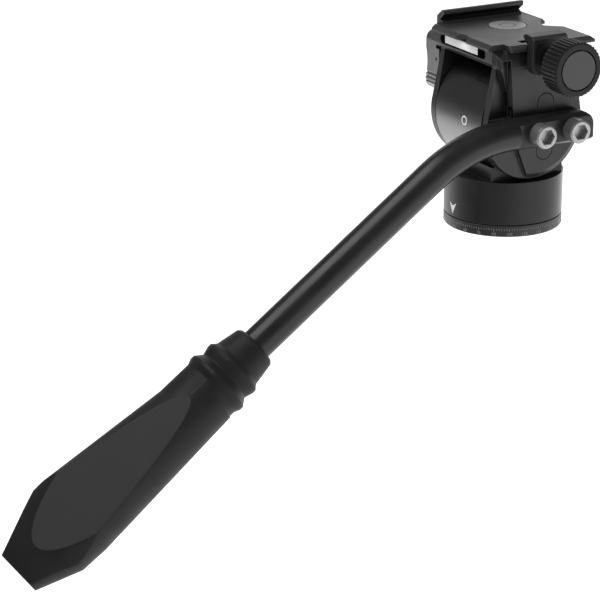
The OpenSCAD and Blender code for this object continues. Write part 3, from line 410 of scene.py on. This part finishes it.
# %% [markdown]
# ## The finishes of this head
# The record names a slot for every solid, and each slot gets one finish. The grip's two flats are
# paler than the rest of it, and the level is white with black ends. The cradle is anodised like its
# neighbours, with painted shade, near black, on the slope in its corner notch, and the drum is polished
# above the base with a coat. These two keep their slot but have finishes of their own.

# %% Finishes by slot
GRIP_FLATS = 2
WAY_DIGITS = 3
FLAT_GREY = (0.025, 0.025, 0.0252)
END_BLACK = (0.010, 0.010, 0.010)
LEVEL_ENDS = ((1.0, 0.0, 0.0), (-1.0, 0.0, 0.0))
PALE_METAL = (0.7, 0.7, 0.7)
# The anodised edges are lightened, partly as wear and partly as a painted edge highlight.
ANODISED = {"colour": (0.018, 0.018, 0.0185), "rough": 0.36, "gloss": 0.45, "wear_and_highlight": 0.6, "edge_mm": 0.5}


def widest_flats(name, count):
    sides = {}
    for face in nodes[name].data.polygons:
        way = tuple(round(part, WAY_DIGITS) for part in face.normal)
        sides[way] = sides.get(way, 0.0) + face.area
    return sorted(sides, key=sides.get, reverse=True)[:count]


grip_flats = [(way, FLAT_GREY) for way in widest_flats("grip", GRIP_FLATS)]
level_ends = [(way, END_BLACK) for way in LEVEL_ENDS]
finishes = {
    "anodised": finish("anodised", **ANODISED),
    "plate_dark": finish("plate_dark", (0.026, 0.026, 0.0265), rough=0.40, bump=0.3),
    "cap_grey": finish("cap_grey", (0.16, 0.16, 0.16), rough=0.36),
    "bar_black": finish("bar_black", (0.012, 0.012, 0.0125), rough=0.30, gloss=0.4, bump=0.06, wear_and_highlight=0.1),
    "grip_black": finish("grip_black", (0.010, 0.010, 0.0102), rough=0.50, gloss=0.28, bump=0.35,
                         wear_and_highlight=0.08, grain_scale=1900.0, edge_mm=1.2, flats=grip_flats),
    "knob_black": finish("knob_black", (0.009, 0.009, 0.0093), rough=0.36, gloss=0.25),
    "knob_disc": finish("knob_disc", (0.040, 0.040, 0.041), rough=0.36),
    "lever_grey": finish("lever_grey", (0.22, 0.22, 0.222), rough=0.34, metal=0.85),
    "steel": finish("steel", (0.50, 0.51, 0.52), rough=0.30, metal=1.0, wear_and_highlight_colour=PALE_METAL),
    "bolt_steel": finish("bolt_steel", (0.36, 0.36, 0.365), rough=0.32, metal=0.75, bump=0.08, wear_and_highlight=0.3,
                         wear_and_highlight_colour=(0.6, 0.6, 0.6), hollow_shade_tone=1.0),
    "alloy": finish("alloy", (0.45, 0.46, 0.48), rough=0.34, metal=1.0, wear_and_highlight_colour=PALE_METAL),
    "bronze": finish("bronze", (0.50, 0.36, 0.16), rough=0.36, metal=1.0, wear_and_highlight_colour=(0.7, 0.55, 0.3)),
    "polymer": finish("polymer", (0.62, 0.60, 0.53), rough=0.42, wear_and_highlight=0.0),
    "vial": finish("vial", (0.90, 0.91, 0.90), rough=0.35, gloss=0.3, bump=0.02, wear_and_highlight=0.0, spread=0.02,
                   hollow_shade_tone=1.0, flats=level_ends),
}
print("finishes:", len(finishes))

# %% Dress the solids
NOTCH_SLOPE = math.radians(27)
NOTCH_WAY = (math.sin(NOTCH_SLOPE), 0.0, math.cos(NOTCH_SLOPE))
# Painted shade, near black, on the slope of the cradle's corner notch.
NOTCH_SHADE = (0.004, 0.004, 0.004)
DRUM_POLISH_MM = 30.0

own_finish = {
    # The cradle's notch slope gets painted shade.
    "cradle": finish("cradle_black", **ANODISED, flats=[(NOTCH_WAY, NOTCH_SHADE)]),
    "pan_housing": finish("drum_black", (0.014, 0.014, 0.0145), rough=0.30, gloss=0.30,
                          polished_mm=DRUM_POLISH_MM),
}
slot_of = {row["node"]: row["material_slot"] for row in frame["record"]["subparts"]}
for name, solid in nodes.items():
    solid.data.materials.clear()
    solid.data.materials.append(own_finish.get(name) or finishes[slot_of[name]])
print("nodes dressed:", len(nodes), "with their own finish:", list(own_finish))

# %% [markdown]
# ## Printed marks
# A pan scale runs round the base plate, with a pointer on the housing above it and a ring on the
# drum. On the real head they are a film of paint. They could be a mask in the finish, but a film has
# a crisp edge at any distance. Each is drawn flat, extruded by a paint film's thickness, and then
# wrapped round its cylinder, so it follows the curve from every side.

# %% Paint films
PAINT_MM = 0.05
SUNK_MM = 0.03

white_paint = finish("white_paint", (0.72, 0.72, 0.71), rough=0.5, bump=0.05, wear_and_highlight=0.0, spread=0.05)
grey_paint = finish("grey_paint", (0.34, 0.34, 0.34), rough=0.5, bump=0.05, wear_and_highlight=0.0, spread=0.12)
print("paints:", white_paint.name, grey_paint.name, "film", PAINT_MM, "mm")


def thicken(mesh):
    film = bmesh.ops.extrude_face_region(mesh, geom=mesh.faces[:])["geom"]
    raised = [item for item in film if isinstance(item, bmesh.types.BMVert)]
    bmesh.ops.translate(mesh, vec=(0, 0, -SUNK_MM * MM), verts=mesh.verts)
    bmesh.ops.translate(mesh, vec=(0, 0, (SUNK_MM + PAINT_MM) * MM), verts=raised)


def finished_piece(name, mesh, body, paint):
    bmesh.ops.recalc_face_normals(mesh, faces=mesh.faces)
    data = bpy.data.meshes.new(name)
    mesh.to_mesh(data)
    mesh.free()
    data.materials.append(paint)
    piece = bpy.data.objects.new(name, data)
    bpy.context.scene.collection.objects.link(piece)
    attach(piece, body)
    print(name, len(data.polygons), "faces on", body)


# %% [markdown]
# ## The pan scale
# Fine ticks stand all round the base plate, with a longer one at each number. One tick is a unit
# square scaled to size, and a loop repeats it along the edge as if it were unrolled.

# %% Scale ticks
TICK_STEP = 2.5
LONG_EVERY = 6
SCALE_SHIFT = 41.2
TICK_TOP = 3.6
TICK_W, SHORT_H, LONG_H = 0.2, 0.7, 1.2
HALF_UNIT = 0.5
BASE_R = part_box("base_plate")[1][0]
print("base radius", round(BASE_R / MM, 2), "mm")


def wrap_on_base(mesh):
    for vert in mesh.verts:
        angle = vert.co.x / BASE_R
        reach = BASE_R + vert.co.z
        vert.co = Vector((reach * math.sin(angle), -reach * math.cos(angle), vert.co.y))


ticks = bmesh.new()
for i in range(int(360 / TICK_STEP)):
    height = LONG_H if i % LONG_EVERY == 0 else SHORT_H
    arc = math.radians(i * TICK_STEP - SCALE_SHIFT) * BASE_R
    made = bmesh.ops.create_grid(ticks, x_segments=1, y_segments=1, size=HALF_UNIT)["verts"]
    bmesh.ops.scale(ticks, vec=(TICK_W * MM, height * MM, 1), verts=made)
    bmesh.ops.translate(ticks, vec=(arc, (TICK_TOP - height / 2) * MM, 0), verts=made)
thicken(ticks)
wrap_on_base(ticks)
finished_piece("scale_ticks", ticks, "base", grey_paint)

# %% [markdown]
# ## The scale's numbers
# The numbers are plain degrees. Each could stay a text object, but its flat mesh joins the others
# before the row is thickened and wrapped, so that all the numbers are one piece of paint.

# %% Scale numbers
NUMBER_STEP = TICK_STEP * LONG_EVERY
NUMBER_H = 1.3
NUMBER_Z = 0.65
FIGURE_SHARE = 0.7
FIGURE_STEPS = 3
WELD_MM = 0.001

numbers = bmesh.new()
for reading in range(0, 360, int(NUMBER_STEP)):
    words = bpy.data.curves.new("number", "FONT")
    words.body = str(reading)
    words.size = NUMBER_H / FIGURE_SHARE * MM
    words.align_x = "CENTER"
    words.resolution_u = FIGURE_STEPS
    holder = bpy.data.objects.new("number", words)
    flat = bpy.data.meshes.new_from_object(holder)
    before = set(numbers.verts)
    numbers.from_mesh(flat)
    made = [vert for vert in numbers.verts if vert not in before]
    arc = math.radians(reading - SCALE_SHIFT) * BASE_R
    bmesh.ops.translate(numbers, vec=(arc, NUMBER_Z * MM, 0), verts=made)
    bpy.data.objects.remove(holder)
    bpy.data.curves.remove(words)
    bpy.data.meshes.remove(flat)
bmesh.ops.remove_doubles(numbers, verts=numbers.verts, dist=WELD_MM * MM)
thicken(numbers)
wrap_on_base(numbers)
finished_piece("scale_numbers", numbers, "base", grey_paint)

# %% [markdown]
# ## The pointer and the ring
# The pointer is an arrowhead of two triangles that meet at its notch. They are subdivided, because a
# flat face can't follow a cylinder. The ring is two circles that are bridged.

# %% Pointer above the scale
POINTER_TIP, POINTER_TOP, POINTER_NOTCH, POINTER_HALF = 6.3, 11.45, 10.0, 2.5
POINTER_CUTS = 3

pointer = bmesh.new()
outline = [(0, POINTER_TIP), (POINTER_HALF, POINTER_TOP), (0, POINTER_NOTCH), (-POINTER_HALF, POINTER_TOP)]
tip, right, notch, left = [pointer.verts.new((x * MM, y * MM, 0)) for x, y in outline]
pointer.faces.new((tip, right, notch))
pointer.faces.new((tip, notch, left))
bmesh.ops.subdivide_edges(pointer, edges=pointer.edges, cuts=POINTER_CUTS, use_grid_fill=True)
thicken(pointer)
wrap_on_base(pointer)
finished_piece("pan_pointer", pointer, "pan_body", white_paint)

# %% Ring on the drum
RING_X, RING_ARC = 4.8, 0.66
RING_OUT, RING_IN = 2.1, 1.35
RING_SIDES = 40
DRUM_Z = next(joint["pos_m"][2] for joint in frame["record"]["behaviour"]["joints"]
              if joint["name"] == "tilt")
DRUM_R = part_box("pan_housing")[1][2] - DRUM_Z
print("drum radius", round(DRUM_R / MM, 2), "mm")


def wrap_on_drum(mesh):
    for vert in mesh.verts:
        angle = vert.co.y / DRUM_R
        reach = DRUM_R + vert.co.z
        vert.co = Vector((vert.co.x, -reach * math.cos(angle), DRUM_Z + reach * math.sin(angle)))


ring = bmesh.new()
loops = []
for radius in (RING_OUT, RING_IN):
    made = bmesh.ops.create_circle(ring, segments=RING_SIDES, radius=radius * MM)["verts"]
    loops.extend({edge for vert in made for edge in vert.link_edges})
bmesh.ops.bridge_loops(ring, edges=loops)
bmesh.ops.translate(ring, vec=(RING_X * MM, RING_ARC * MM, 0), verts=ring.verts)
thicken(ring)
wrap_on_drum(ring)
finished_piece("drum_ring", ring, "pan_body", white_paint)

# %% [markdown]
# ## A screw in the tilt lever
# A small black set screw shows on the rear face of the tilt lever. It could be a dark dot in the
# lever's finish, but a real screw catches light on its rim, so it is a short cylinder with a bevelled
# end, sunk into the face.

# %% Lever pin
PIN_R, PIN_HIGH, PIN_SUNK = 0.65, 0.12, 0.3
PIN_X, PIN_Z = -24.6, 67.7
PIN_SIDES = 24
RIM_STEPS = 2
LEVER_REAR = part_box("tilt_lever")[0][1]

pin = bmesh.new()
bmesh.ops.create_cone(pin, cap_ends=True, segments=PIN_SIDES, radius1=PIN_R * MM, radius2=PIN_R * MM,
                      depth=(PIN_HIGH + PIN_SUNK) * MM)
rim = [edge for edge in pin.edges if all(vert.co.z > 0 for vert in edge.verts)]
bmesh.ops.bevel(pin, geom=rim, offset=PIN_HIGH / 2 * MM, segments=RIM_STEPS, profile=0.5, affect="EDGES",
                material=-1)
bmesh.ops.rotate(pin, matrix=Matrix.Rotation(math.pi / 2, 3, "X"), verts=pin.verts)
pin_y = LEVER_REAR + (PIN_SUNK - PIN_HIGH) / 2 * MM
bmesh.ops.translate(pin, vec=(PIN_X * MM, pin_y, PIN_Z * MM), verts=pin.verts)
finished_piece("lever_pin", pin, "tilt_lock", finishes["knob_black"])
